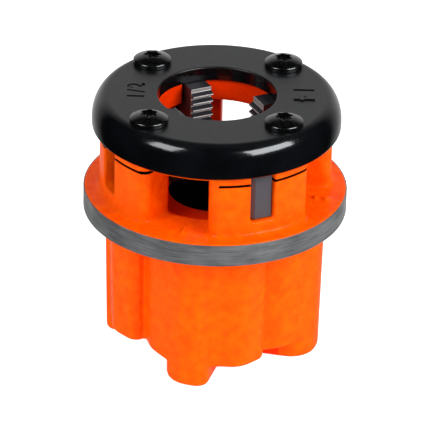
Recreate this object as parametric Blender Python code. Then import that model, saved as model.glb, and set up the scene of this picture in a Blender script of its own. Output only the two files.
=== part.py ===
"""Drop-in pipe threading die head: cast body, four thread chasers, cover plate and its four screws.

The head stands on the ends of its four drive lugs, on z = 0, with its axis on the Z axis.
Azimuths are measured from the front (-Y) towards the right (+X). Lengths are in millimetres
and become metres in solid_from_mesh.
"""
import math

import bmesh
import bpy
from mathutils import Matrix, Vector

MM = 0.001

# ---- clearances -------------------------------------------------------------------------------
SEAT_GAP = 0.3            # between faces that rest on each other
SCREW_SEAT_GAP = 0.15     # under a screw head
SLIDE_GAP = 0.3           # on each side of a chaser in its slot
THREAD_GAP = 0.3          # round a screw shank in its tapped hole

# ---- body: heights, from the ends of the drive lugs up ------------------------------------------
LUG_DROP = 4.7            # how far the drive lugs stand below the guide body
GUIDE_HEIGHT = 32.0       # lobed guide body below the ring
RING_HEIGHT = 5.7
WINDOW_HEIGHT = 14.9      # chip windows, ring face to the underside of the top plate
TOP_PLATE = 5.7
CAVITY_SINK = 1.7         # floor of the cavity below the ring face
SLOT_SILL = 3.4           # floor of the chaser slots above the ring face

# ---- body: radii --------------------------------------------------------------------------------
RING_RADIUS = 32.0
BLOCK_RADIUS = 28.1
CAVITY_RADIUS = 18.7
PASSAGE_RADIUS = 15.0
BORE_RADIUS = 11.0
BORE_LEAD_IN = 1.6
LUG_RADIUS = 26.3
LUG_WIDTH = 11.4
LUG_INNER_RADIUS = 13.8
LUG_VALLEY_CORNER = 6.5   # larger on the side of the valley than beside the lobe
LUG_LOBE_CORNER = 3.0
RING_CHAMFER = 0.4
FOOT_FILLET = 1.3
BLOCK_CORNER = 2.4
LOWER_EDGE = 0.9          # rounding of the cast lower edges
DRAFT = 0.025             # growth of the guide body and lugs towards the ring
GUIDE_INTO_RING = 2.3     # the guide body and the lugs run up into the ring by different
LUG_INTO_RING = 1.7       # depths, so that no two of their faces coincide
WINDOW_OVERLAP = 2.0      # how far a window cutter runs into the cavity

# ---- azimuths -----------------------------------------------------------------------------------
CHASER_AZIMUTH = 26.0
BLOCK_AZIMUTH = 25.4
BLOCK_HALF_ANGLE = 28.7
LUG_AZIMUTH = -15.0
SCREW_AZIMUTH = 45.0
KERF_AZIMUTH = 27.7

# ---- saw kerf over each chaser slot ----------------------------------------------------------------
KERF_BELOW_PLATE = 1.4
KERF_HEIGHT = 0.55
KERF_DEPTH = 3.0

# ---- chasers -------------------------------------------------------------------------------------
CHASER_THICKNESS = 5.4
CHASER_OFFSET = -0.9      # the cutting edge leads the centre line
CHASER_SET_IN = (0.0, 0.0, 0.0, 1.3)    # chasers slide freely; the last stands further in
CHASER_TIP_RADIUS = 9.4
CHASER_TAIL_SINK = 1.2    # outer end of a chaser, below the block's face
THREAD_PITCH = 1.814      # 14 threads to the inch
THREAD_DEPTH = 1.25
THREAD_COUNT = 8
TOOTH_FOOT = 0.45         # half width of a tooth at its foot and at its crest, as shares of the pitch
TOOTH_CREST = 0.06
TOOTH_STAGGER = 0.25      # each chaser's teeth stand this share of the pitch above the last one's
TOP_TOOTH = 1.4           # crest of the first chaser's top tooth below its top, in pitches
THROAT_TEETH = 2          # teeth cut back on the side where the pipe enters
THROAT_STEP = 0.5

# ---- cover ---------------------------------------------------------------------------------------
COVER_PLATE = 3.4
COVER_OVERHANG = 2.0      # how far the cover stands out past the blocks
COVER_HOLE_RADIUS = 14.3
COVER_EDGE_WIDTH = 3.8     # the rounded edge is a quarter of an ellipse
COVER_EDGE_DROP = 6.2
COVER_HOLE_EDGE = 0.4
SKIRT_DEPTH = 4.9
SKIRT_LOWER_EDGE = 1.0

# ---- cover screws ----------------------------------------------------------------------------------
SCREW_INSET = 5.5         # axis of a screw, inside the block's face
SCREW_RADIUS = 2.3
SCREW_LENGTH = 13.0       # under the head
SCREW_HEAD_RADIUS = 4.65
SCREW_RIM_HEIGHT = 1.0
SCREW_DOME_HEIGHT = 1.4
SCREW_SOCKET_RADIUS = 1.75
SCREW_SOCKET_LOBE = 0.28  # how far the six lobes stand out and the flutes between them in
SCREW_SOCKET_LOBES = 6
SCREW_SOCKET_STEPS = 36
SCREW_SOCKET_DEPTH = 1.7
TAPPED_HOLE_SPARE = 1.5   # hole below the end of a screw

# ---- finishes: colour, metallic, roughness -----------------------------------------------------------
BODY_PAINT = ((0.9, 0.13, 0.005), 0.0, 0.35)
COVER_BLACK = ((0.02, 0.02, 0.022), 0.0, 0.45)
CHASER_STEEL = ((0.06, 0.06, 0.065), 0.9, 0.4)
SCREW_BLACK = ((0.015, 0.015, 0.016), 0.6, 0.3)

# ---- fineness of the mesh ----------------------------------------------------------------------------
TURN_STEPS = 96
SMALL_TURN_STEPS = 32
ARC_STEPS = 5
OUTLINE_STEPS = 3
WELD_DISTANCE = 0.002
SHARP_ANGLE = 30.0
QUARTERS = range(4)

# ---- heights and radii that follow from the sizes above ---------------------------------------------
GUIDE_BOTTOM = LUG_DROP
RING_BOTTOM = GUIDE_BOTTOM + GUIDE_HEIGHT
RING_TOP = RING_BOTTOM + RING_HEIGHT
PLATE_UNDERSIDE = RING_TOP + WINDOW_HEIGHT
BODY_TOP = PLATE_UNDERSIDE + TOP_PLATE
CHASER_TAIL_RADIUS = BLOCK_RADIUS - CHASER_TAIL_SINK
COVER_RADIUS = BLOCK_RADIUS + COVER_OVERHANG
SCREW_CIRCLE_RADIUS = BLOCK_RADIUS - SCREW_INSET
CAVITY_FLOOR = RING_TOP - CAVITY_SINK
SLOT_FLOOR = RING_TOP + SLOT_SILL
COVER_UNDERSIDE = BODY_TOP + SEAT_GAP
COVER_TOP = COVER_UNDERSIDE + COVER_PLATE
SKIRT_BOTTOM = COVER_UNDERSIDE - SKIRT_DEPTH
SKIRT_INNER_RADIUS = BLOCK_RADIUS + SEAT_GAP
SLOT_WIDTH = CHASER_THICKNESS + 2 * SLIDE_GAP
SCREW_SEAT = COVER_TOP + SCREW_SEAT_GAP
SCREW_HOLE_RADIUS = SCREW_RADIUS + THREAD_GAP
OVERSHOOT = 4.0           # how far a cutter runs past what it cuts

# Guide body outline over one quarter: azimuth in degrees, and depth below the lugs' outer face.
# It runs from the valley left of a drive lug, over the lug and the chip lobe beside it.
GUIDE_OUTLINE = (
    (-54.0, 6.2),
    (-43.0, 4.4),
    (-33.0, 3.0),
    (-26.0, 1.9),
    (-18.5, 0.7),
    (-9.0, 0.6),
    (-1.0, 1.2),
    (5.5, 1.7),
    (12.0, 1.1),
    (19.0, 1.2),
    (26.0, 2.2),
    (31.5, 3.0),
    (35.0, 4.7),
)


def polar(radius, azimuth, height=0.0):
    """A point at an azimuth in degrees from the front, towards the right."""
    angle = math.radians(azimuth)
    return Vector((radius * math.sin(angle), -radius * math.cos(angle), height))


def new_object(name, mesh):
    made = bpy.data.objects.new(name, mesh)
    bpy.context.scene.collection.objects.link(made)
    return made


def solid_from_mesh(name, work):
    """Turn a finished bmesh in millimetres into an object in metres, faces pointing out."""
    bmesh.ops.recalc_face_normals(work, faces=work.faces)
    bmesh.ops.scale(work, vec=(MM, MM, MM), verts=work.verts)
    mesh = bpy.data.meshes.new(name)
    work.to_mesh(mesh)
    work.free()
    return new_object(name, mesh)


def loft(work, rings):
    """Close a solid through rings of points that all have the same count."""
    loops = [[work.verts.new(point) for point in ring] for ring in rings]
    for lower, upper in zip(loops, loops[1:]):
        count = len(lower)
        for i in range(count):
            j = (i + 1) % count
            work.faces.new((lower[i], lower[j], upper[j], upper[i]))
    work.faces.new(list(reversed(loops[0])))
    work.faces.new(loops[-1])


def turn(work, profile, steps=TURN_STEPS, place=None):
    """Revolve a closed (radius, height) profile about Z; radius 0 makes a pole."""
    columns = []
    for k in range(steps):
        angle = 2 * math.pi * k / steps
        columns.append([(r * math.sin(angle), -r * math.cos(angle), z) for r, z in profile])
    poles = {i: work.verts.new((0, 0, z)) for i, (r, z) in enumerate(profile) if r == 0}
    loops = []
    for column in columns:
        loops.append([poles.get(i) or work.verts.new(point) for i, point in enumerate(column)])
    count = len(profile)
    for k in range(steps):
        here, there = loops[k], loops[(k + 1) % steps]
        for i in range(count):
            j = (i + 1) % count
            corners = []
            for vertex in (here[i], there[i], there[j], here[j]):
                if vertex not in corners:
                    corners.append(vertex)
            if len(corners) > 2:
                work.faces.new(corners)
    if place is not None:
        used = {vertex for loop in loops for vertex in loop}
        bmesh.ops.transform(work, matrix=place, verts=list(used))


def arc(centre, radius, start, end, steps=ARC_STEPS):
    """Points of an arc in a profile's (radius, height) plane, from start to end degrees."""
    points = []
    for k in range(steps + 1):
        angle = math.radians(start + (end - start) * k / steps)
        points.append((centre[0] + radius * math.cos(angle), centre[1] + radius * math.sin(angle)))
    return points


def block(work, low, high, place):
    """An upright box from its low and high corners, moved by a matrix."""
    rings = []
    for z in (low[2], high[2]):
        corners = ((low[0], low[1]), (high[0], low[1]), (high[0], high[1]), (low[0], high[1]))
        rings.append([place @ Vector((x, y, z)) for x, y in corners])
    loft(work, rings)


def shape_with(target, tool, operation):
    """Apply a Boolean to the target with its tool, and drop the tool."""
    modifier = target.modifiers.new("shape", "BOOLEAN")
    modifier.operation = operation
    modifier.solver = "EXACT"
    modifier.object = tool
    bpy.context.view_layer.update()
    graph = bpy.context.evaluated_depsgraph_get()
    shaped = bpy.data.meshes.new_from_object(target.evaluated_get(graph))
    target.modifiers.clear()
    target.data = shaped
    bpy.data.objects.remove(tool)


def tidy_faces(target):
    """Weld the seams that the cuts leave and drop slivers."""
    work = bmesh.new()
    work.from_mesh(target.data)
    bmesh.ops.remove_doubles(work, verts=work.verts, dist=WELD_DISTANCE * MM)
    bmesh.ops.dissolve_degenerate(work, edges=work.edges, dist=WELD_DISTANCE * MM)
    work.to_mesh(target.data)
    work.free()


def put(target, place):
    """Move a finished piece, whose place matrix is in millimetres."""
    target.matrix_world = Matrix.Translation(place.to_translation() * MM) @ place.to_3x3().to_4x4()


def finish(target, surface_finish):
    """Give an object its own material and smooth shading with sharp edges kept."""
    colour, metallic, roughness = surface_finish
    surface = bpy.data.materials.new(target.name + "_surface")
    surface.use_nodes = True
    shader = surface.node_tree.nodes["Principled BSDF"]
    shader.inputs["Base Color"].default_value = (*colour, 1.0)
    shader.inputs["Metallic"].default_value = metallic
    shader.inputs["Roughness"].default_value = roughness
    target.data.materials.clear()
    target.data.materials.append(surface)
    target.data.shade_smooth()
    target.data.set_sharp_from_angle(angle=math.radians(SHARP_ANGLE))


def smooth_outline():
    """Closed outline of the guide body: a smooth curve through GUIDE_OUTLINE, four times round."""
    knots = []
    for index in QUARTERS:
        for azimuth, depth in GUIDE_OUTLINE:
            knots.append(polar(LUG_RADIUS - depth, azimuth + 90.0 * index))
    count = len(knots)
    points = []
    for i in range(count):
        before, start, end, after = (knots[(i + k) % count] for k in (-1, 0, 1, 2))
        for step in range(OUTLINE_STEPS):
            t = step / OUTLINE_STEPS
            points.append(0.5 * (2 * start + (end - before) * t
                                 + (2 * before - 5 * start + 4 * end - after) * t ** 2
                                 + (3 * start - before - 3 * end + after) * t ** 3))
    return points


def inset(outline, distance):
    """Move an anticlockwise outline inwards by a small distance, along its normals."""
    count = len(outline)
    moved = []
    for i, point in enumerate(outline):
        along = (outline[(i + 1) % count] - outline[i - 1]).normalized()
        moved.append(point + distance * Vector((-along.y, along.x, 0.0)))
    return moved


def cast_prism(work, outline, bottom, top):
    """A prism with draft and a rounded lower edge, narrower at its bottom than at the ring."""
    rings = []
    for k in range(ARC_STEPS):
        angle = 0.5 * math.pi * k / (ARC_STEPS - 1)
        shrink = LOWER_EDGE * (1 - math.sin(angle))
        height = bottom + LOWER_EDGE * (1 - math.cos(angle))
        rings.append([point + Vector((0, 0, height)) for point in inset(outline, shrink)])
    grown = [point * (1 + DRAFT) for point in outline]
    rings.append([point + Vector((0, 0, top)) for point in grown])
    loft(work, rings)


def lug_outline(index):
    """Plan of one drive lug: a radial rib whose outer corners are rounded."""
    half = 0.5 * LUG_WIDTH
    inner, outer = LUG_INNER_RADIUS, LUG_RADIUS
    flat = [(inner, -half)]
    flat += arc((outer - LUG_VALLEY_CORNER, LUG_VALLEY_CORNER - half), LUG_VALLEY_CORNER, -90, 0)
    flat += arc((outer - LUG_LOBE_CORNER, half - LUG_LOBE_CORNER), LUG_LOBE_CORNER, 0, 90)
    flat += [(inner, half)]
    along = polar(1.0, LUG_AZIMUTH + 90.0 * index)
    across = Vector((-along.y, along.x, 0.0))
    return [along * u + across * v for u, v in flat]


def body_head():
    """Ring, blocks and top plate, still as one round turning with its cavity; bored out later."""
    work = bmesh.new()
    core = 0.5 * BORE_RADIUS
    rim = RING_RADIUS - RING_CHAMFER
    foot = (BLOCK_RADIUS + FOOT_FILLET, RING_TOP + FOOT_FILLET)
    profile = [(core, RING_BOTTOM), (rim, RING_BOTTOM), (RING_RADIUS, RING_BOTTOM + RING_CHAMFER),
               (RING_RADIUS, RING_TOP - RING_CHAMFER), (rim, RING_TOP)]
    profile += arc(foot, FOOT_FILLET, 270, 180, 3)
    profile += [(BLOCK_RADIUS, BODY_TOP), (PASSAGE_RADIUS, BODY_TOP), (PASSAGE_RADIUS, PLATE_UNDERSIDE),
                (CAVITY_RADIUS, PLATE_UNDERSIDE), (CAVITY_RADIUS, CAVITY_FLOOR), (core, CAVITY_FLOOR)]
    turn(work, profile)
    return solid_from_mesh("body_head", work)


def guide_body():
    """The lobed guide body below the ring."""
    work = bmesh.new()
    cast_prism(work, smooth_outline(), GUIDE_BOTTOM, RING_BOTTOM + GUIDE_INTO_RING)
    return solid_from_mesh("die_head_body", work)


def drive_lugs():
    work = bmesh.new()
    for index in QUARTERS:
        cast_prism(work, lug_outline(index), 0.0, RING_BOTTOM + LUG_INTO_RING)
    return solid_from_mesh("drive_lugs", work)


def bore_cutter():
    """Guide bore, with a cone where the pipe enters."""
    work = bmesh.new()
    wide = BORE_RADIUS + BORE_LEAD_IN
    turn(work, [(0, GUIDE_BOTTOM - OVERSHOOT), (wide, GUIDE_BOTTOM - OVERSHOOT), (wide, GUIDE_BOTTOM),
                (BORE_RADIUS, GUIDE_BOTTOM + BORE_LEAD_IN), (BORE_RADIUS, CAVITY_FLOOR + OVERSHOOT),
                (0, CAVITY_FLOOR + OVERSHOOT)])
    return solid_from_mesh("bore_cutter", work)


def window_outline(index):
    """Plan of one chip window: radial sides that flare round the block corners."""
    half = 45.0 - BLOCK_HALF_ANGLE
    centre = BLOCK_AZIMUTH + 45.0 + 90.0 * index
    outside = RING_RADIUS + OVERSHOOT
    reach = math.sqrt((BLOCK_RADIUS - BLOCK_CORNER) ** 2 - BLOCK_CORNER ** 2)
    lean = math.degrees(math.atan2(BLOCK_CORNER, reach))
    side = []
    for k in range(ARC_STEPS + 1):
        angle = math.radians((90.0 - lean) * k / ARC_STEPS)
        u = reach + BLOCK_CORNER * math.sin(angle)
        v = BLOCK_CORNER - BLOCK_CORNER * math.cos(angle)
        side.append((u, v))
    side.append((outside, side[-1][1] * outside / side[-1][0]))
    side.insert(0, (CAVITY_RADIUS - WINDOW_OVERLAP, 0.0))
    points = []
    for sign in (-1, 1):
        along = polar(1.0, centre + sign * half)
        away = Vector((-along.y, along.x, 0.0)) * sign
        edge = [along * u + away * v for u, v in side]
        points += edge if sign < 0 else reversed(edge)
    return points


def window_cutter():
    work = bmesh.new()
    for index in QUARTERS:
        outline = window_outline(index)
        heights = (RING_TOP, PLATE_UNDERSIDE)
        loft(work, [[point + Vector((0, 0, z)) for point in outline] for z in heights])
    return solid_from_mesh("window_cutter", work)


def facing(azimuth):
    """Matrix whose x runs outwards at an azimuth, with y across it and z up."""
    along = polar(1.0, azimuth)
    across = Vector((-along.y, along.x, 0.0))
    return Matrix(((along.x, across.x, 0, 0), (along.y, across.y, 0, 0), (0, 0, 1, 0), (0, 0, 0, 1)))


def chaser_place(index):
    """Matrix from a chaser's own axes (x outwards, y across, z up) to its place in the body."""
    return facing(CHASER_AZIMUTH + 90.0 * index) @ Matrix.Translation((0.0, CHASER_OFFSET, 0.0))


def slot_cutter():
    work = bmesh.new()
    half = 0.5 * SLOT_WIDTH
    inside = PASSAGE_RADIUS - OVERSHOOT
    outside = RING_RADIUS + OVERSHOOT
    low = (inside, -half, SLOT_FLOOR)
    high = (outside, half, BODY_TOP + OVERSHOOT)
    for index in QUARTERS:
        block(work, low, high, chaser_place(index))
    return solid_from_mesh("slot_cutter", work)


def kerf_cutter():
    """Thin saw cuts above the slots, each on a chord of its block."""
    work = bmesh.new()
    middle = PLATE_UNDERSIDE - KERF_BELOW_PLATE
    low = (BLOCK_RADIUS - KERF_DEPTH, -RING_RADIUS, middle - 0.5 * KERF_HEIGHT)
    high = (RING_RADIUS + OVERSHOOT, RING_RADIUS, middle + 0.5 * KERF_HEIGHT)
    for index in QUARTERS:
        block(work, low, high, facing(KERF_AZIMUTH + 90.0 * index))
    return solid_from_mesh("kerf_cutter", work)


def screw_hole_cutter(bottom, top):
    work = bmesh.new()
    profile = [(0, bottom), (SCREW_HOLE_RADIUS, bottom), (SCREW_HOLE_RADIUS, top), (0, top)]
    for index in QUARTERS:
        place = Matrix.Translation(polar(SCREW_CIRCLE_RADIUS, SCREW_AZIMUTH + 90.0 * index))
        turn(work, profile, SMALL_TURN_STEPS, place)
    return solid_from_mesh("screw_hole_cutter", work)


def make_body():
    """The casting: guide body, lugs and head joined, then bored, windowed, slotted and tapped."""
    body = guide_body()
    shape_with(body, drive_lugs(), "UNION")
    shape_with(body, body_head(), "UNION")
    shape_with(body, bore_cutter(), "DIFFERENCE")
    shape_with(body, window_cutter(), "DIFFERENCE")
    shape_with(body, slot_cutter(), "DIFFERENCE")
    shape_with(body, kerf_cutter(), "DIFFERENCE")
    hole_bottom = SCREW_SEAT - SCREW_LENGTH - TAPPED_HOLE_SPARE
    shape_with(body, screw_hole_cutter(hole_bottom, BODY_TOP + OVERSHOOT), "DIFFERENCE")
    tidy_faces(body)
    finish(body, BODY_PAINT)


def chaser_side(index):
    """Side view of a chaser (outwards, up): teeth at the tip, staggered a quarter pitch each."""
    bottom = SLOT_FLOOR + SLIDE_GAP
    top = BODY_TOP
    root = CHASER_TIP_RADIUS + THREAD_DEPTH
    first = top - THREAD_PITCH * (TOP_TOOTH + THREAD_COUNT - 1 - TOOTH_STAGGER * index)
    points = [(CHASER_TAIL_RADIUS, bottom), (CHASER_TAIL_RADIUS, top), (root, top)]
    for tooth in reversed(range(THREAD_COUNT)):
        crest = first + tooth * THREAD_PITCH
        tip = CHASER_TIP_RADIUS + THROAT_STEP * max(0, THROAT_TEETH - tooth)
        points.append((root, crest + TOOTH_FOOT * THREAD_PITCH))
        points.append((tip, crest + TOOTH_CREST * THREAD_PITCH))
        points.append((tip, crest - TOOTH_CREST * THREAD_PITCH))
        points.append((root, crest - TOOTH_FOOT * THREAD_PITCH))
    points.append((root, bottom))
    return points


def make_chaser(index):
    """One chaser, with its origin on the head's axis and its local X along its slide."""
    work = bmesh.new()
    half = 0.5 * CHASER_THICKNESS
    side = chaser_side(index)
    loft(work, [[Vector((u, v, z)) for u, z in side] for v in (-half, half)])
    chaser = solid_from_mesh("die_%d" % (index + 1), work)
    finish(chaser, CHASER_STEEL)
    put(chaser, chaser_place(index) @ Matrix.Translation((-CHASER_SET_IN[index], 0.0, 0.0)))


def make_cover():
    """Cap over the chasers: flat top, broad rounded edge and a skirt round the body's top plate."""
    work = bmesh.new()
    edge = (COVER_RADIUS - COVER_EDGE_WIDTH, COVER_TOP - COVER_EDGE_DROP)
    lip = (COVER_RADIUS - SKIRT_LOWER_EDGE, SKIRT_BOTTOM + SKIRT_LOWER_EDGE)
    rim = (COVER_HOLE_RADIUS + COVER_HOLE_EDGE, COVER_TOP - COVER_HOLE_EDGE)
    profile = [(SKIRT_INNER_RADIUS, COVER_UNDERSIDE), (SKIRT_INNER_RADIUS, SKIRT_BOTTOM)]
    profile += arc(lip, SKIRT_LOWER_EDGE, 270, 360, 3)
    for across, up in arc((0, 0), 1.0, 0, 90, 7):
        profile.append((edge[0] + COVER_EDGE_WIDTH * across, edge[1] + COVER_EDGE_DROP * up))
    profile += arc(rim, COVER_HOLE_EDGE, 90, 180, 2)
    profile += [(COVER_HOLE_RADIUS, COVER_UNDERSIDE)]
    turn(work, profile)
    cover = solid_from_mesh("cover_plate", work)
    holes = screw_hole_cutter(SKIRT_BOTTOM - OVERSHOOT, COVER_TOP + OVERSHOOT)
    shape_with(cover, holes, "DIFFERENCE")
    tidy_faces(cover)
    finish(cover, COVER_BLACK)


def screw_socket():
    """Cutter for the socket in a screw head, with six rounded lobes."""
    work = bmesh.new()
    top = SCREW_RIM_HEIGHT + SCREW_DOME_HEIGHT
    rings = []
    for z in (top - SCREW_SOCKET_DEPTH, top + OVERSHOOT):
        ring = []
        for k in range(SCREW_SOCKET_STEPS):
            azimuth = 360.0 * k / SCREW_SOCKET_STEPS
            wave = math.cos(math.radians(SCREW_SOCKET_LOBES * azimuth))
            ring.append(polar(SCREW_SOCKET_RADIUS + SCREW_SOCKET_LOBE * wave, azimuth, z))
        rings.append(ring)
    loft(work, rings)
    return solid_from_mesh("socket_cutter", work)


def make_screw(index):
    """Button head screw with its origin on its own axis; its dome is the cap of a larger sphere."""
    work = bmesh.new()
    ball = (SCREW_HEAD_RADIUS ** 2 + SCREW_DOME_HEIGHT ** 2) / (2 * SCREW_DOME_HEIGHT)
    top = SCREW_RIM_HEIGHT + SCREW_DOME_HEIGHT
    spread = math.degrees(math.asin(SCREW_HEAD_RADIUS / ball))
    profile = [(0, -SCREW_LENGTH), (SCREW_RADIUS, -SCREW_LENGTH), (SCREW_RADIUS, 0)]
    profile.append((SCREW_HEAD_RADIUS, 0))
    dome = arc((0, top - ball), ball, 90 - spread, 90)
    profile += dome[:-1] + [(0, top)]
    turn(work, profile, SMALL_TURN_STEPS)
    screw = solid_from_mesh("cover_screw_%d" % (index + 1), work)
    shape_with(screw, screw_socket(), "DIFFERENCE")
    tidy_faces(screw)
    finish(screw, SCREW_BLACK)
    seat = polar(SCREW_CIRCLE_RADIUS, SCREW_AZIMUTH + 90.0 * index, SCREW_SEAT)
    put(screw, Matrix.Translation(seat))


def main():
    for old in list(bpy.data.objects):
        bpy.data.objects.remove(old)
    make_body()
    make_cover()
    for index in QUARTERS:
        make_chaser(index)
        make_screw(index)


main()
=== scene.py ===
# %% [markdown]
# # A half-inch drop-in pipe threading head
#
# The real one is a painted iron casting. Its lobed lower part and four lugs drop into a ratchet
# drive, four thread chasers sit in slots across its top, and a black cover plate with four button
# screws holds them down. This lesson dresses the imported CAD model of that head: it loads the model
# as a fixed frame, makes softer and finer versions of its pieces, and gives each its real finish.

# %% Load the frame
import math

import bmesh
import bpy
from mathutils import Matrix, Vector


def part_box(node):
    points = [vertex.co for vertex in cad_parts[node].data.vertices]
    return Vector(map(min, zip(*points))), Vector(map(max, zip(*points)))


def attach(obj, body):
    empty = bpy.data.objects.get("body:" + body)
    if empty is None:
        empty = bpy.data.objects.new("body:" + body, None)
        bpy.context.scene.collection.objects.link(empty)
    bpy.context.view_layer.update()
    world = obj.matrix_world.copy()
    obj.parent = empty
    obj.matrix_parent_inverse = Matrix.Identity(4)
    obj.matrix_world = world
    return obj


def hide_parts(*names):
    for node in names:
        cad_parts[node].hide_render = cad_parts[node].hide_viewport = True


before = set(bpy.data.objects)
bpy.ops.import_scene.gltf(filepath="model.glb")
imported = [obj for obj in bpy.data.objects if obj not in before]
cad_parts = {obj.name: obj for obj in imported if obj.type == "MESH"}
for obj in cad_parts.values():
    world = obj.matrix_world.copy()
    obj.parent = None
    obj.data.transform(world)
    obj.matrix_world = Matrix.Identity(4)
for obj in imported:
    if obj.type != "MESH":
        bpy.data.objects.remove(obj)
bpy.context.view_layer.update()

MM = 0.001
body_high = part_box("die_head_body")[1]
cover_low, cover_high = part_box("cover_plate")

# %% [markdown]
# The CAD boxes give the outer sizes. The rest are the casting's own depths, measured down from its
# top or in from its ring, so they stay right if the head is packed again at another height.

# %% Heights and radii, in metres
ring_radius = body_high.x
body_top = body_high.z
plate_underside = body_top - 5.7 * MM
ring_top = plate_underside - 14.9 * MM
ring_bottom = ring_top - 5.7 * MM
cavity_floor = ring_top - 1.7 * MM
block_radius = ring_radius - 3.9 * MM
cavity_radius = 18.7 * MM
bore_radius = 11.0 * MM
cover_radius = cover_high.x
cover_top = cover_high.z
cover_underside = body_top + 0.3 * MM
cover_hole_radius = 14.3 * MM
chaser_azimuths = [26.0 + 90.0 * k for k in range(4)]
chaser_tips = [9.4 * MM, 9.4 * MM, 9.4 * MM, 8.1 * MM]
SCREW_AZIMUTH = 45.0
screw_circle = block_radius - 5.5 * MM
screw_seat = cover_top + 0.15 * MM
kerf_height = plate_underside - 1.4 * MM
KERF_WIDTH = 0.7 * MM
KERF_AZIMUTH = 27.7
KERF_LENGTH = 24.6 * MM
KERF_SHADE_AZIMUTH = 28.0       # the part of each kerf painted with near-black shade, which stops just short of the block's corner
KERF_SHADE_HALF_LENGTH = 12.3 * MM
print("ring from", round(ring_bottom / MM, 1), "to", round(ring_top / MM, 1), "mm")

# %% [markdown]
# ## Tools of the trade
#
# Operators act on whatever is selected, so every step starts from an empty selection. These few
# helpers select one piece, pick parts of it by their place, and apply a modifier.

# %% Selecting and applying
def take(piece):
    """Select one piece and nothing else."""
    bpy.ops.object.select_all(action="DESELECT")
    piece.select_set(True)
    bpy.context.view_layer.objects.active = piece


def pick(piece, kind, test):
    """In edit mode, select the vertices, edges or faces whose points all pass a test."""
    bpy.ops.mesh.select_mode(type=kind)
    bpy.ops.mesh.select_all(action="DESELECT")
    work = bmesh.from_edit_mesh(piece.data)
    parts = {"VERT": work.verts, "EDGE": work.edges, "FACE": work.faces}[kind]
    for part in parts:
        points = [part.co] if kind == "VERT" else [corner.co for corner in part.verts]
        if all(test(point) for point in points):
            part.select_set(True)
    bmesh.update_edit_mesh(piece.data)


def apply_modifier(piece, kind, **settings):
    """Add one modifier with its settings and apply it at once."""
    take(piece)
    modifier = piece.modifiers.new(kind.lower(), kind)
    for name, value in settings.items():
        setattr(modifier, name, value)
    bpy.ops.object.modifier_apply(modifier=modifier.name)


def even_shading(piece, degrees):
    """Smooth shading that keeps flats flat: sharp edges by angle, normals weighted by area."""
    take(piece)
    bpy.ops.object.shade_smooth_by_angle(angle=math.radians(degrees))
    apply_modifier(piece, "WEIGHTED_NORMAL", keep_sharp=True)


def settle(piece):
    """Move a piece's place into its mesh, so that its object stands at the origin."""
    take(piece)
    bpy.ops.object.transform_apply(location=True, rotation=True, scale=True)


def cut(piece, tool):
    """Cut a piece with a tool, and throw the tool away."""
    settle(tool)
    apply_modifier(piece, "BOOLEAN", object=tool, operation="DIFFERENCE", solver="EXACT")
    bpy.data.objects.remove(tool)


def radius_of(point):
    return math.hypot(point[0], point[1])


def around(radius, azimuth, height):
    """A point at an azimuth in degrees from the front, towards the right."""
    angle = math.radians(azimuth)
    return Vector((radius * math.sin(angle), -radius * math.cos(angle), height))


def drum(name, radius, low, high, steps=192, centre=(0.0, 0.0)):
    """A plain drum to start a turned piece or a round cutter from."""
    bpy.ops.object.select_all(action="DESELECT")
    bpy.ops.mesh.primitive_cylinder_add(vertices=steps, radius=radius, depth=high - low,
                                        location=(centre[0], centre[1], 0.5 * (low + high)))
    piece = bpy.context.object
    piece.name = name
    settle(piece)
    return piece


# %% [markdown]
# ## Finishes
#
# Colours are written as sRGB hex values, as a paint chart gives them, and shaders want linear light.
# One function turns the one into the other, and one more adds a node with its settings and links.

# %% Colour and node helpers
def linear(hex_colour):
    """sRGB hex to linear RGBA."""
    channels = [int(hex_colour[i:i + 2], 16) / 255 for i in (0, 2, 4)]
    lit = [c / 12.92 if c <= 0.04045 else ((c + 0.055) / 1.055) ** 2.4 for c in channels]
    return (*lit, 1.0)


def add_node(tree, kind, settings=None, inputs=None):
    """Add a node; an input is a value, or the socket that feeds it."""
    node = tree.nodes.new(kind)
    for name, value in (settings or {}).items():
        setattr(node, name, value)
    for name, value in (inputs or {}).items():
        if isinstance(value, bpy.types.NodeSocket):
            tree.links.new(value, node.inputs[name])
        else:
            node.inputs[name].default_value = value
    return node


def start_material(name, **sockets):
    """A new material with its Principled shader's constant sockets set."""
    material = bpy.data.materials.new(name)
    material.use_nodes = True
    shader = material.node_tree.nodes["Principled BSDF"]
    for socket, value in sockets.items():
        shader.inputs[socket.replace("_", " ")].default_value = value
    return material, material.node_tree, shader


def dress(piece, material):
    piece.data.materials.clear()
    piece.data.materials.append(material)


# %% [markdown]
# ### Orange enamel on sand-cast iron
#
# The casting is iron from a sand mould, so its skin has a grain of about half a millimetre and soft
# waves a few millimetres long. Sprayed enamel lies over both: glossy and a little thin on the high
# spots. One mask by radius colours the guide bore below the cavity floor nearly black. Another
# paints shade inside the cavity as a darker, redder orange, and a third paints shade in the saw
# kerfs as near-black.

# %% Mix the enamel
SAND_GRAIN = 0.55 * MM
SKIN_WAVE = 2.4 * MM

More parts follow.
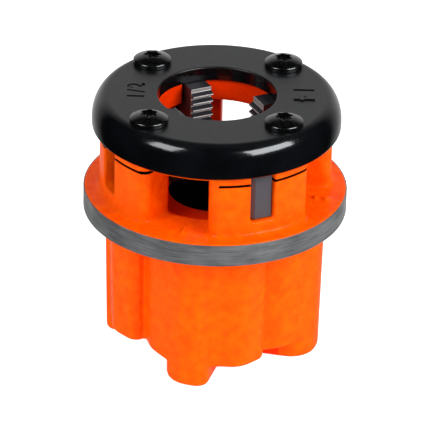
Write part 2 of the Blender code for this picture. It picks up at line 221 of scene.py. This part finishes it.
enamel, tree, shader = start_material(
    "orange_enamel_on_cast_iron", IOR=1.5, Specular_IOR_Level=0.03, Coat_Weight=0.12, Coat_Roughness=0.06)
place = add_node(tree, "ShaderNodeTexCoord").outputs["Object"]
grain = add_node(tree, "ShaderNodeTexNoise", {}, {
    "Vector": place, "Scale": 1 / SAND_GRAIN, "Detail": 3.0, "Roughness": 0.6})
wave = add_node(tree, "ShaderNodeTexNoise", {}, {
    "Vector": place, "Scale": 1 / SKIN_WAVE, "Detail": 2.0, "Roughness": 0.5})
paint = add_node(tree, "ShaderNodeValToRGB", {}, {"Fac": wave.outputs["Fac"]})
paint.color_ramp.elements[0].position = 0.30
paint.color_ramp.elements[0].color = linear("F24E00")
paint.color_ramp.elements[1].position = 0.70
paint.color_ramp.elements[1].color = linear("FC5E00")
split = add_node(tree, "ShaderNodeSeparateXYZ", {}, {"Vector": place})
flat = add_node(tree, "ShaderNodeCombineXYZ", {}, {"X": split.outputs["X"], "Y": split.outputs["Y"]})
radius = add_node(tree, "ShaderNodeVectorMath", {"operation": "LENGTH"}, {0: flat.outputs["Vector"]})
# Painted shade in the saw kerfs: near-black colour on their cut faces, along the stretch of each kerf that
# ends short of the block's corner.
kerf_band = add_node(tree, "ShaderNodeMath", {"operation": "COMPARE"}, {
    0: split.outputs["Z"], 1: kerf_height, 2: 0.5 * KERF_WIDTH + 0.06 * MM})
under_skin = add_node(tree, "ShaderNodeMapRange", {}, {
    "Value": radius.outputs["Value"],
    "From Min": block_radius - 0.10 * MM, "From Max": block_radius - 0.25 * MM})
behind_wall = add_node(tree, "ShaderNodeMath", {"operation": "GREATER_THAN"}, {
    0: radius.outputs["Value"], 1: cavity_radius + 1.0 * MM})
in_kerf = add_node(tree, "ShaderNodeMath", {"operation": "MULTIPLY"}, {
    0: kerf_band.outputs["Value"], 1: under_skin.outputs["Result"]})
sides = []
for azimuth in (KERF_SHADE_AZIMUTH, KERF_SHADE_AZIMUTH + 90):
    side = add_node(tree, "ShaderNodeVectorMath", {"operation": "DOT_PRODUCT"}, {
        0: place, 1: around(1.0, azimuth, 0)})
    sides.append(add_node(tree, "ShaderNodeMath", {"operation": "ABSOLUTE"}, {0: side.outputs["Value"]}))
nearest = add_node(tree, "ShaderNodeMath", {"operation": "MINIMUM"}, {
    0: sides[0].outputs["Value"], 1: sides[1].outputs["Value"]})
on_face = add_node(tree, "ShaderNodeMath", {"operation": "LESS_THAN"}, {
    0: nearest.outputs["Value"], 1: KERF_SHADE_HALF_LENGTH})
cut_face = add_node(tree, "ShaderNodeMath", {"operation": "MULTIPLY"}, {
    0: in_kerf.outputs["Value"], 1: behind_wall.outputs["Value"]})
kerf_shade = add_node(tree, "ShaderNodeMath", {"operation": "MULTIPLY"}, {
    0: cut_face.outputs["Value"], 1: on_face.outputs["Value"]})
# The guide bore below the cavity floor is coloured nearly black.
in_bore = add_node(tree, "ShaderNodeMapRange", {}, {
    "Value": radius.outputs["Value"],
    "From Min": bore_radius + 0.5 * MM, "From Max": bore_radius + 0.25 * MM})
below_floor = add_node(tree, "ShaderNodeMapRange", {}, {
    "Value": split.outputs["Z"], "From Min": ring_top, "From Max": cavity_floor})
bored = add_node(tree, "ShaderNodeMath", {"operation": "MULTIPLY"}, {
    0: in_bore.outputs["Result"], 1: below_floor.outputs["Result"]})
dark_bore_and_kerf_shade = add_node(tree, "ShaderNodeMath", {"operation": "MAXIMUM"}, {
    0: bored.outputs["Value"], 1: kerf_shade.outputs["Value"]})
# Painted shade inside the cavity: the orange there is mixed towards a darker, redder one.
inside = add_node(tree, "ShaderNodeMapRange", {}, {
    "Value": radius.outputs["Value"],
    "From Min": cavity_radius + 1.0 * MM, "From Max": cavity_radius + 0.5 * MM})
cavity_shade = add_node(tree, "ShaderNodeMix", {"data_type": "RGBA"}, {
    "Factor": inside.outputs["Result"], 6: paint.outputs["Color"], 7: linear("EC3200")})
colour = add_node(tree, "ShaderNodeMix", {"data_type": "RGBA"}, {
    "Factor": dark_bore_and_kerf_shade.outputs["Value"], 6: cavity_shade.outputs[2], 7: linear("060505")})
tree.links.new(colour.outputs[2], shader.inputs["Base Color"])
rough_grain = add_node(tree, "ShaderNodeMapRange", {}, {
    "Value": grain.outputs["Fac"], "To Min": 0.26, "To Max": 0.46})
tree.links.new(rough_grain.outputs["Result"], shader.inputs["Roughness"])
waves = add_node(tree, "ShaderNodeBump", {}, {
    "Height": wave.outputs["Fac"], "Distance": 0.45 * MM, "Strength": 0.6})
skin = add_node(tree, "ShaderNodeBump", {}, {
    "Height": grain.outputs["Fac"], "Distance": 0.10 * MM, "Strength": 0.6,
    "Normal": waves.outputs["Normal"]})
tree.links.new(skin.outputs["Normal"], shader.inputs["Normal"])
print("enamel nodes:", len(tree.nodes))

# %% [markdown]
# ### Turned iron
#
# The ring's rim is turned after painting and left bare. A lathe tool leaves fine rings round the
# axis, far closer than shows; they are drawn about a third of a millimetre apart here, with long
# soft streaks along them.

# %% Turn the iron bright
TOOL_MARK = 0.33 * MM

turned_iron, tree, shader = start_material(
    "turned_cast_iron", Metallic=0.35)
place = add_node(tree, "ShaderNodeTexCoord").outputs["Object"]
stretched = add_node(tree, "ShaderNodeMapping", {}, {"Vector": place, "Scale": (0.05, 0.05, 1.0)})
marks = add_node(tree, "ShaderNodeTexNoise", {}, {
    "Vector": stretched.outputs["Vector"], "Scale": 1 / TOOL_MARK, "Detail": 3.0, "Roughness": 0.65})
blotch = add_node(tree, "ShaderNodeTexNoise", {}, {
    "Vector": place, "Scale": 1 / (7 * MM), "Detail": 2.0})
both = add_node(tree, "ShaderNodeMix", {"data_type": "FLOAT"}, {
    "Factor": 0.35, 2: marks.outputs["Fac"], 3: blotch.outputs["Fac"]})
bright = add_node(tree, "ShaderNodeValToRGB", {}, {"Fac": both.outputs[0]})
bright.color_ramp.elements[0].position = 0.35
bright.color_ramp.elements[0].color = linear("505152")
bright.color_ramp.elements[1].position = 0.65
bright.color_ramp.elements[1].color = linear("858686")
tree.links.new(bright.outputs["Color"], shader.inputs["Base Color"])
polish = add_node(tree, "ShaderNodeMapRange", {}, {
    "Value": both.outputs[0], "From Min": 0.3, "From Max": 0.7, "To Min": 0.46, "To Max": 0.30})
tree.links.new(polish.outputs["Result"], shader.inputs["Roughness"])
rings = add_node(tree, "ShaderNodeBump", {}, {
    "Height": marks.outputs["Fac"], "Distance": 0.02 * MM, "Strength": 0.4})
tree.links.new(rings.outputs["Normal"], shader.inputs["Normal"])

# %% [markdown]
# ### Blackened cover steel
#
# The cover is a thick pressing finished in baked black enamel: satin on the flat, where the film
# shows a fine orange peel, and glossier where it is stretched round the edge.

# %% Bake the black enamel
PEEL = 0.8 * MM

black_enamel, tree, shader = start_material(
    "baked_black_enamel", IOR=1.5, Coat_Weight=0.1, Coat_Roughness=0.08)
place = add_node(tree, "ShaderNodeTexCoord").outputs["Object"]
peel = add_node(tree, "ShaderNodeTexNoise", {}, {
    "Vector": place, "Scale": 1 / PEEL, "Detail": 2.0, "Roughness": 0.55})
cloud = add_node(tree, "ShaderNodeTexNoise", {}, {
    "Vector": place, "Scale": 1 / (9 * MM), "Detail": 3.0})
film = add_node(tree, "ShaderNodeValToRGB", {}, {"Fac": cloud.outputs["Fac"]})
film.color_ramp.elements[0].position = 0.35
film.color_ramp.elements[0].color = linear("040506")
film.color_ramp.elements[1].position = 0.65
film.color_ramp.elements[1].color = linear("090A0D")
tree.links.new(film.outputs["Color"], shader.inputs["Base Color"])
split = add_node(tree, "ShaderNodeSeparateXYZ", {}, {"Vector": place})
on_flat = add_node(tree, "ShaderNodeMapRange", {}, {
    "Value": split.outputs["Z"], "From Min": cover_top - 0.9 * MM, "From Max": cover_top - 0.05 * MM,
    "To Min": 0.14, "To Max": 0.40})
speckle = add_node(tree, "ShaderNodeMath", {"operation": "MULTIPLY_ADD"}, {
    0: peel.outputs["Fac"], 1: 0.12, 2: -0.06})
rough = add_node(tree, "ShaderNodeMath", {"operation": "ADD"}, {
    0: on_flat.outputs["Result"], 1: speckle.outputs["Value"]})
tree.links.new(rough.outputs["Value"], shader.inputs["Roughness"])
peel_bump = add_node(tree, "ShaderNodeBump", {}, {
    "Height": peel.outputs["Fac"], "Distance": 0.02 * MM, "Strength": 0.5})
tree.links.new(peel_bump.outputs["Normal"], shader.inputs["Normal"])

# %% [markdown]
# ### Black oxide on the screws
#
# Button screws come blackened and oiled: a thin conversion coating on bright steel, so they are
# glossy, and their edges wear through first.

# %% Oil the black oxide
black_oxide, tree, shader = start_material(
    "oiled_black_oxide", Metallic=0.0, IOR=1.55, Coat_Weight=0.5, Coat_Roughness=0.08)
place = add_node(tree, "ShaderNodeTexCoord").outputs["Object"]
oil = add_node(tree, "ShaderNodeTexNoise", {}, {
    "Vector": place, "Scale": 1 / (0.9 * MM), "Detail": 3.0})
tone = add_node(tree, "ShaderNodeValToRGB", {}, {"Fac": oil.outputs["Fac"]})
tone.color_ramp.elements[0].position = 0.35
tone.color_ramp.elements[0].color = linear("030303")
tone.color_ramp.elements[1].position = 0.7
tone.color_ramp.elements[1].color = linear("0C0C0D")
tree.links.new(tone.outputs["Color"], shader.inputs["Base Color"])
slick = add_node(tree, "ShaderNodeMapRange", {}, {
    "Value": oil.outputs["Fac"], "To Min": 0.12, "To Max": 0.3})
tree.links.new(slick.outputs["Result"], shader.inputs["Roughness"])

# %% [markdown]
# ### Hardened chaser steel
#
# The chasers are tool steel, blackened all over. Thin painted highlights lie on the crests and roots
# of the teeth, and the outer end is coloured a lighter grey. Each chaser runs outwards along its own
# azimuth, so the distance along that direction tells a crest from a root, and the tip from the
# tail. Fine grinding lines run up the sides.

# %% Grind the chaser steel
GRIND = 0.25 * MM
TOOTH_DEPTH = 1.25 * MM
LAND = 0.14 * MM


def tool_steel(name, azimuth, tip):
    """Blackened steel for the chaser that runs out along an azimuth, with its tip at a radius."""
    steel, tree, shader = start_material(name, Metallic=0.4)
    place = add_node(tree, "ShaderNodeTexCoord").outputs["Object"]
    upright = add_node(tree, "ShaderNodeMapping", {}, {"Vector": place, "Scale": (1.0, 1.0, 0.06)})
    lines = add_node(tree, "ShaderNodeTexNoise", {}, {
        "Vector": upright.outputs["Vector"], "Scale": 1 / GRIND, "Detail": 3.0, "Roughness": 0.7})
    dark = add_node(tree, "ShaderNodeValToRGB", {}, {"Fac": lines.outputs["Fac"]})
    dark.color_ramp.elements[0].position = 0.3
    dark.color_ramp.elements[0].color = linear("222125")
    dark.color_ramp.elements[1].position = 0.7
    dark.color_ramp.elements[1].color = linear("3C3A3F")
    outwards = add_node(tree, "ShaderNodeVectorMath", {"operation": "DOT_PRODUCT"}, {
        0: place, 1: around(1.0, azimuth, 0)})
    # Painted highlights: thin bright lines of colour on the crest and root lands of the teeth.
    crest = add_node(tree, "ShaderNodeMath", {"operation": "COMPARE"}, {
        0: outwards.outputs["Value"], 1: tip, 2: LAND})
    root = add_node(tree, "ShaderNodeMath", {"operation": "COMPARE"}, {
        0: outwards.outputs["Value"], 1: tip + TOOTH_DEPTH, 2: LAND})
    land_highlight = add_node(tree, "ShaderNodeMath", {"operation": "MAXIMUM"}, {
        0: crest.outputs["Value"], 1: root.outputs["Value"]})
    # The outer end of the chaser is coloured a lighter grey.
    at_tail = add_node(tree, "ShaderNodeMapRange", {}, {
        "Value": outwards.outputs["Value"], "From Min": tip + 12 * MM, "From Max": tip + 17 * MM})
    lighter_tail = add_node(tree, "ShaderNodeMix", {"data_type": "RGBA"}, {
        "Factor": at_tail.outputs["Result"], 6: dark.outputs["Color"], 7: linear("625F64")})
    colour = add_node(tree, "ShaderNodeMix", {"data_type": "RGBA"}, {
        "Factor": land_highlight.outputs["Value"], 6: lighter_tail.outputs[2], 7: linear("A8A5A3")})
    tree.links.new(colour.outputs[2], shader.inputs["Base Color"])
    satin = add_node(tree, "ShaderNodeMapRange", {}, {
        "Value": lines.outputs["Fac"], "To Min": 0.28, "To Max": 0.44})
    tree.links.new(satin.outputs["Result"], shader.inputs["Roughness"])
    scratches = add_node(tree, "ShaderNodeBump", {}, {
        "Height": lines.outputs["Fac"], "Distance": 0.02 * MM, "Strength": 0.35})
    tree.links.new(scratches.outputs["Normal"], shader.inputs["Normal"])
    return steel


# %% [markdown]
# ## The casting
#
# A sand casting has no sharp edge anywhere. The CAD body has them all, so a merged copy of it is
# remeshed in small voxels and smoothed, which rounds every edge a little, as the mould does. The
# raised bay numbers are cast with the body, so they are joined to the copy before the remesh.

# %% Copy the body and add the cast numbers
def copy_of(node, name):
    """A merged copy of a CAD node's mesh, as a piece of its own."""
    piece = bpy.data.objects.new(name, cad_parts[node].data.copy())
    bpy.context.scene.collection.objects.link(piece)
    take(piece)
    bpy.ops.object.mode_set(mode="EDIT")
    bpy.ops.mesh.select_all(action="SELECT")
    bpy.ops.mesh.remove_doubles(threshold=0.003 * MM)
    bpy.ops.object.mode_set(mode="OBJECT")
    return piece


def letter(text, size, thickness, bold=0.0, spacing=1.0):
    """Solid figures lying flat on z = 0, centred, as a mesh."""
    bpy.ops.object.select_all(action="DESELECT")
    bpy.ops.object.text_add(location=(0, 0, 0))
    figures = bpy.context.object
    figures.data.body = text
    figures.data.size = size
    figures.data.align_x = "CENTER"
    figures.data.align_y = "CENTER"
    figures.data.extrude = 0.5 * thickness
    figures.data.offset = bold
    figures.data.space_character = spacing
    bpy.ops.object.convert(target="MESH")
    return bpy.context.object


casting = copy_of("die_head_body", "casting")
NUMBER_AZIMUTH = -15.8
numbers = []
for bay in range(4):
    number = letter(str(bay + 1), 4.6 * MM, 2.0 * MM, 0.16 * MM)
    azimuth = NUMBER_AZIMUTH + 90 * bay
    number.rotation_euler.z = math.radians(azimuth)
    number.location = around(26.7 * MM, azimuth, ring_top)
    settle(number)
    numbers.append(number)
take(casting)
for number in numbers:
    number.select_set(True)
bpy.ops.object.join()
print("casting before the remesh:", len(casting.data.polygons), "faces")

# %% Soften it
VOXEL = 0.4 * MM

apply_modifier(casting, "REMESH", mode="VOXEL", voxel_size=VOXEL, use_smooth_shade=True)
apply_modifier(casting, "SMOOTH", factor=0.5, iterations=3)
print("casting after the remesh:", len(casting.data.polygons), "faces")

# %% [markdown]
# Where the blocks stand on the flange the mould had a generous fillet. A vertex group marks that
# foot, and a second, longer smoothing works on it alone.

# %% Fillet the feet of the blocks
feet = casting.vertex_groups.new(name="feet")
for vertex in casting.data.vertices:
    out = radius_of(vertex.co)
    at_foot = abs(vertex.co.z - ring_top - 0.4 * MM) < 1.5 * MM
    if at_foot and cavity_radius + 1.2 * MM < out < ring_radius - 1.6 * MM:
        feet.add([vertex.index], 1.0, "REPLACE")
apply_modifier(casting, "SMOOTH", factor=0.5, iterations=8, vertex_group="feet")

# %% [markdown]
# The blocks' outer faces, the cavity and the bore are parts of true cylinders, but the CAD mesh
# draws them as flats. Vertices within a few hundredths of a millimetre of such a cylinder are moved
# onto it. The rim is drawn in slightly, to leave room for the bright turned band.

# %% True up the round faces
BAND_DEPTH = 0.18 * MM

for vertex in casting.data.vertices:
    out = radius_of(vertex.co)
    for true in (block_radius, cavity_radius, 15.0 * MM, bore_radius):
        slack = abs(out - true)
        if slack < 0.10 * MM:
            pull = 1.0 if slack < 0.05 * MM else (0.10 * MM - slack) / (0.05 * MM)
            scale = 1 + pull * (true / out - 1)
            vertex.co.x *= scale
            vertex.co.y *= scale
    if out > ring_radius - BAND_DEPTH:
        scale = (ring_radius - BAND_DEPTH) / out
        vertex.co.x *= scale
        vertex.co.y *= scale

# %% Thin the mesh and saw the kerfs
apply_modifier(casting, "DECIMATE", ratio=0.5)
bpy.ops.object.select_all(action="DESELECT")
kerf_depth = block_radius - 3.0 * MM
blade_end = ring_radius + 4.0 * MM
for block in range(4):
    azimuth = KERF_AZIMUTH + 90 * block
    middle = around(0.5 * (kerf_depth + blade_end), azimuth, kerf_height)
    bpy.ops.mesh.primitive_cube_add(size=1, location=middle, rotation=(0, 0, math.radians(azimuth)))
    blade = bpy.context.object
    blade.scale = (KERF_LENGTH, blade_end - kerf_depth, KERF_WIDTH)
    cut(casting, blade)
take(casting)
bpy.ops.object.shade_smooth_by_angle(angle=math.radians(50))
dress(casting, enamel)
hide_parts("die_head_body")
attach(casting, "body")
print("casting:", sum(len(face.vertices) - 2 for face in casting.data.polygons), "triangles")

# %% [markdown]
# ## The turned band
#
# The rim of the ring is bare metal with crisp corners. It is a thin band of its own: a drum is
# hollowed with a narrower one, and its corners are chamfered.

# %% Turn the band
band = drum("turned_band", ring_radius, ring_bottom + 0.05 * MM, ring_top - 0.22 * MM, steps=256)
bore_tool = drum("band_tool", ring_radius - 0.8 * MM, ring_bottom - 5 * MM, ring_top + 5 * MM, steps=256)
cut(band, bore_tool)
take(band)
bpy.ops.object.mode_set(mode="EDIT")
pick(band, "EDGE", lambda p: radius_of(p) > ring_radius - 0.1 * MM)
work = bmesh.from_edit_mesh(band.data)
for edge in work.edges:
    if edge.select and abs(edge.verts[0].co.z - edge.verts[1].co.z) > 0.1 * MM:
        edge.select_set(False)
bmesh.update_edit_mesh(band.data)
bpy.ops.mesh.bevel(offset=0.15 * MM, segments=2, affect="EDGES")
bpy.ops.object.mode_set(mode="OBJECT")
even_shading(band, 25)
dress(band, turned_iron)
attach(band, "body")
print("band:", len(band.data.polygons), "faces")

# %% [markdown]
# ## The cover plate
#
# The cover is a thick round cap. Its edge is rounded as a quarter of an ellipse, broader down than
# in, so the drum is made too low, its rim is bevelled evenly, and then it is stretched upwards to
# its real height, which stretches the rounding as well.

# %% Raise the cap
EDGE_WIDTH = 3.8 * MM
EDGE_DROP = 6.2 * MM
stretch = EDGE_DROP / EDGE_WIDTH
cover_height = cover_high.z - cover_low.z

cover = drum("cover_cap", cover_radius, 0.0, cover_height / stretch)
bpy.ops.object.mode_set(mode="EDIT")
pick(cover, "EDGE", lambda p: p.z > 0.9 * cover_height / stretch)
bpy.ops.mesh.bevel(offset=EDGE_WIDTH, segments=12, affect="EDGES")
bpy.ops.object.mode_set(mode="OBJECT")
cover.scale.z = stretch
cover.location.z = cover_low.z
settle(cover)
bpy.ops.object.mode_set(mode="EDIT")
pick(cover, "EDGE", lambda p: p.z < cover_low.z + 0.1 * MM)
bpy.ops.mesh.bevel(offset=1.0 * MM, segments=4, affect="EDGES")
bpy.ops.object.mode_set(mode="OBJECT")

# %% Hollow it, bore it and stamp its figures
cut(cover, drum("recess", block_radius + 0.3 * MM, cover_low.z - 5 * MM, cover_underside))
cut(cover, drum("hole", cover_hole_radius, cover_low.z - 5 * MM, cover_top + 5 * MM))
take(cover)
bpy.ops.object.mode_set(mode="EDIT")
pick(cover, "EDGE", lambda p: p.z > cover_top - 0.05 * MM and radius_of(p) < cover_hole_radius + 0.05 * MM)
bpy.ops.mesh.bevel(offset=0.4 * MM, segments=3, affect="EDGES")
bpy.ops.object.mode_set(mode="OBJECT")
for k in range(4):
    seat = around(screw_circle, SCREW_AZIMUTH + 90 * k, 0)
    cut(cover, drum("screw_hole", 2.6 * MM, cover_low.z, cover_top + 5 * MM, steps=48, centre=seat[:2]))

STAMP_DEPTH = 0.35 * MM
for text, size, spot, turned in (("1/2", 5.8 * MM, (-19.3 * MM, 0.4 * MM), 90),
                                 ("14", 7.0 * MM, (20.6 * MM, 0.6 * MM), -90)):
    stamp = letter(text, size, 2 * STAMP_DEPTH, 0.12 * MM, 1.2)
    stamp.rotation_euler.z = math.radians(turned)
    stamp.location = (*spot, cover_top)
    cut(cover, stamp)
even_shading(cover, 30)
dress(cover, black_enamel)
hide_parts("cover_plate")
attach(cover, "cover")
print("cover:", len(cover.data.polygons), "faces")

# %% [markdown]
# ## The chasers
#
# Each chaser is a ground bar with teeth on its inner end. The CAD shape is right, but ground steel
# has a hairline bevel that catches the light, and one corner of its outer end is taken off wide.

# %% Grind the chasers
for k in range(4):
    node = "die_%d" % (k + 1)
    chaser = copy_of(node, "chaser_%d" % (k + 1))
    bpy.ops.object.mode_set(mode="EDIT")
    bpy.ops.mesh.select_all(action="SELECT")
    bpy.ops.mesh.dissolve_limited(angle_limit=math.radians(2))
    along = around(1.0, chaser_azimuths[k], 0)
    across = Vector((-along.y, along.x, 0))
    tail = chaser_tips[k] + 17.4 * MM
    pick(chaser, "EDGE", lambda p: p.dot(along) > tail and p.dot(across) < -3.0 * MM)
    bpy.ops.mesh.bevel(offset=1.1 * MM, segments=1, affect="EDGES")
    bpy.ops.object.mode_set(mode="OBJECT")
    apply_modifier(chaser, "BEVEL", width=0.12 * MM, segments=2, limit_method="ANGLE",
                   angle_limit=math.radians(30))
    even_shading(chaser, 30)
    dress(chaser, tool_steel("blackened_tool_steel_%d" % (k + 1), chaser_azimuths[k], chaser_tips[k]))
    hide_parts(node)
    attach(chaser, "chaser_%d" % (k + 1))
print("chaser:", len(chaser.data.polygons), "faces")

# %% [markdown]
# ## The cover screws
#
# A button screw is a low dome over a short rim, with a six-lobed recess for the driver. One is
# built by extruding a disc up in rings that close in along a sphere; the recess is cut with a
# wavy prism and its lip bevelled so that it catches the light. The other three are copies.

# %% Model one screw
HEAD_RADIUS = 4.65 * MM
RIM_HEIGHT = 1.0 * MM
DOME_HEIGHT = 1.36 * MM
SHANK_RADIUS = 2.3 * MM
SHANK_LENGTH = 13.0 * MM
RECESS_RADIUS = 1.85 * MM
RECESS_LOBE = 0.28 * MM
RECESS_DEPTH = 1.7 * MM
DOME_RINGS = 10

ball = (HEAD_RADIUS ** 2 + DOME_HEIGHT ** 2) / (2 * DOME_HEIGHT)
spread = math.asin(HEAD_RADIUS / ball)

bpy.ops.object.select_all(action="DESELECT")
bpy.ops.mesh.primitive_circle_add(vertices=72, radius=HEAD_RADIUS, fill_type="NGON", location=(0, 0, 0))
screw = bpy.context.object
screw.name = "button_screw_1"
bpy.ops.object.mode_set(mode="EDIT")
bpy.ops.mesh.select_all(action="SELECT")
bpy.ops.mesh.extrude_region_move(TRANSFORM_OT_translate={"value": (0, 0, RIM_HEIGHT)})
here_radius = HEAD_RADIUS
here_height = RIM_HEIGHT
for ring in range(1, DOME_RINGS):
    angle = spread * (1 - ring / DOME_RINGS)
    next_radius = ball * math.sin(angle)
    next_height = RIM_HEIGHT + DOME_HEIGHT - ball * (1 - math.cos(angle))
    bpy.ops.mesh.extrude_region_move(TRANSFORM_OT_translate={"value": (0, 0, next_height - here_height)})
    shrink = next_radius / here_radius
    bpy.ops.transform.resize(value=(shrink, shrink, 1))
    here_radius, here_height = next_radius, next_height
pick(screw, "FACE", lambda p: p.z < 0.01 * MM)
bpy.ops.mesh.inset(thickness=HEAD_RADIUS - SHANK_RADIUS)
bpy.ops.mesh.extrude_region_move(TRANSFORM_OT_translate={"value": (0, 0, -SHANK_LENGTH)})
bpy.ops.mesh.select_all(action="SELECT")
bpy.ops.mesh.normals_make_consistent(inside=False)
bpy.ops.object.mode_set(mode="OBJECT")
print("screw blank:", len(screw.data.polygons), "faces")

# %% Cut its recess
bpy.ops.object.select_all(action="DESELECT")
bpy.ops.mesh.primitive_cylinder_add(vertices=72, radius=RECESS_RADIUS, depth=2 * RECESS_DEPTH,
                                    location=(0, 0, RIM_HEIGHT + DOME_HEIGHT))
star = bpy.context.object
for vertex in star.data.vertices:
    azimuth = math.atan2(vertex.co.y, vertex.co.x)
    scale = 1 + RECESS_LOBE / RECESS_RADIUS * math.cos(6 * azimuth)
    vertex.co.x *= scale
    vertex.co.y *= scale
cut(screw, star)
take(screw)
bpy.ops.object.mode_set(mode="EDIT")
recess_floor = RIM_HEIGHT + DOME_HEIGHT - RECESS_DEPTH
recess_reach = RECESS_RADIUS + 1.5 * RECESS_LOBE
pick(screw, "EDGE", lambda p: radius_of(p) < recess_reach and p.z > recess_floor + 1.2 * MM)
bpy.ops.mesh.bevel(offset=0.14 * MM, segments=2, affect="EDGES")
pick(screw, "EDGE",
     lambda p: abs(radius_of(p) - HEAD_RADIUS) < 0.01 * MM and abs(p.z - RIM_HEIGHT) < 0.01 * MM)
bpy.ops.mesh.bevel(offset=0.25 * MM, segments=3, affect="EDGES")
bpy.ops.object.mode_set(mode="OBJECT")
even_shading(screw, 35)
dress(screw, black_oxide)

# %% Copy it round the cover
for k in range(4):
    piece = bpy.data.objects.new("button_screw_%d" % (k + 1), screw.data.copy())
    bpy.context.scene.collection.objects.link(piece)
    piece.location = around(screw_circle, SCREW_AZIMUTH + 90 * k, screw_seat)
    piece.rotation_euler.z = math.radians(17 + 23 * k)
    settle(piece)
    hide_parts("cover_screw_%d" % (k + 1))
    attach(piece, "screw_%d" % (k + 1))
bpy.data.objects.remove(screw)

# %% [markdown]
# ## The studio
#
# A plain white floor that glows evenly, and two large soft boxes: one in front on the left, and a
# stronger, wider one on the right. Black enamel shows exactly what stands round it, so the
# room is dark to reflections in front and pale behind.

# %% Lay the floor
bpy.ops.object.select_all(action="DESELECT")
bpy.ops.mesh.primitive_plane_add(size=6.0, location=(0, 0, -0.02 * MM))
floor = bpy.context.object
floor.name = "studio_floor"
white_sweep, tree, shader = start_material(
    "white_paper_sweep", Base_Color=linear("BEBEBE"), Roughness=0.9, Specular_IOR_Level=0.1,
    Emission_Color=(1.0, 1.0, 1.0, 1.0), Emission_Strength=0.95)
dress(floor, white_sweep)
floor.visible_glossy = False

# %% Hang the lights
def soft_box(name, azimuth, elevation, distance, width, height, radiance):
    """An area light aimed at the head; its power follows from how bright its face is."""
    lamp = bpy.data.lights.new(name, "AREA")
    lamp.shape = "RECTANGLE"
    lamp.size = width
    lamp.size_y = height
    lamp.color = (0.94, 0.97, 1.0)
    lamp.energy = radiance * math.pi * width * height
    box = bpy.data.objects.new(name, lamp)
    bpy.context.scene.collection.objects.link(box)
    aim = Vector((0, 0, 45 * MM))
    away = around(math.cos(math.radians(elevation)), azimuth, math.sin(math.radians(elevation)))
    turn = away.to_track_quat("Z", "Y").to_matrix().to_4x4()
    box.matrix_world = Matrix.Translation(aim + away * distance) @ turn
    return box


soft_box("left_soft_box", -54, 41, 1.0, 0.4, 0.42, 8.5)
soft_box("right_soft_box", 56, 37, 1.0, 0.7, 0.4, 12.0)

# %% Colour the room
room = bpy.data.worlds.new("studio_room")
bpy.context.scene.world = room
room.use_nodes = True
tree = room.node_tree
background = tree.nodes["Background"]
ray = add_node(tree, "ShaderNodeLightPath")
toward = add_node(tree, "ShaderNodeTexCoord").outputs["Generated"]
upward = add_node(tree, "ShaderNodeSeparateXYZ", {}, {"Vector": toward})
behind = add_node(tree, "ShaderNodeMapRange", {}, {
    "Value": upward.outputs["Y"], "From Min": 0.55, "From Max": 0.9, "To Min": 0.0, "To Max": 0.72})
glossy = add_node(tree, "ShaderNodeMix", {"data_type": "FLOAT"}, {
    "Factor": ray.outputs["Is Glossy Ray"], 2: 0.35, 3: behind.outputs["Result"]})
seen = add_node(tree, "ShaderNodeMix", {"data_type": "FLOAT"}, {
    "Factor": ray.outputs["Is Camera Ray"], 2: glossy.outputs[0], 3: 1.0})
tree.links.new(seen.outputs[0], background.inputs["Strength"])
background.inputs["Color"].default_value = (1.0, 1.0, 1.0, 1.0)
bpy.context.scene.view_settings.view_transform = "Standard"

# %% [markdown]
# ## The camera
#
# A long lens a metre away, 28 degrees above the horizontal and a little out of level, as a hand
# held camera is.

# %% Set the camera
camera_data = bpy.data.cameras.new("camera")
camera_data.sensor_width = 36.0
camera_data.lens = 343.3
camera_data.clip_start = 0.01
camera = bpy.data.objects.new("camera", camera_data)
bpy.context.scene.collection.objects.link(camera)
CAMERA_ELEVATION = math.radians(28.05)
look = around(math.cos(CAMERA_ELEVATION), 0, math.sin(CAMERA_ELEVATION))
aim = Vector((0.127 * MM, 0, 33.56 * MM))
camera.matrix_world = (Matrix.Translation(aim + look) @ look.to_track_quat("Z", "Y").to_matrix().to_4x4()
                       @ Matrix.Rotation(math.radians(1.27), 4, "Z"))
bpy.context.scene.camera = camera

# %% Finish
bpy.context.view_layer.update()
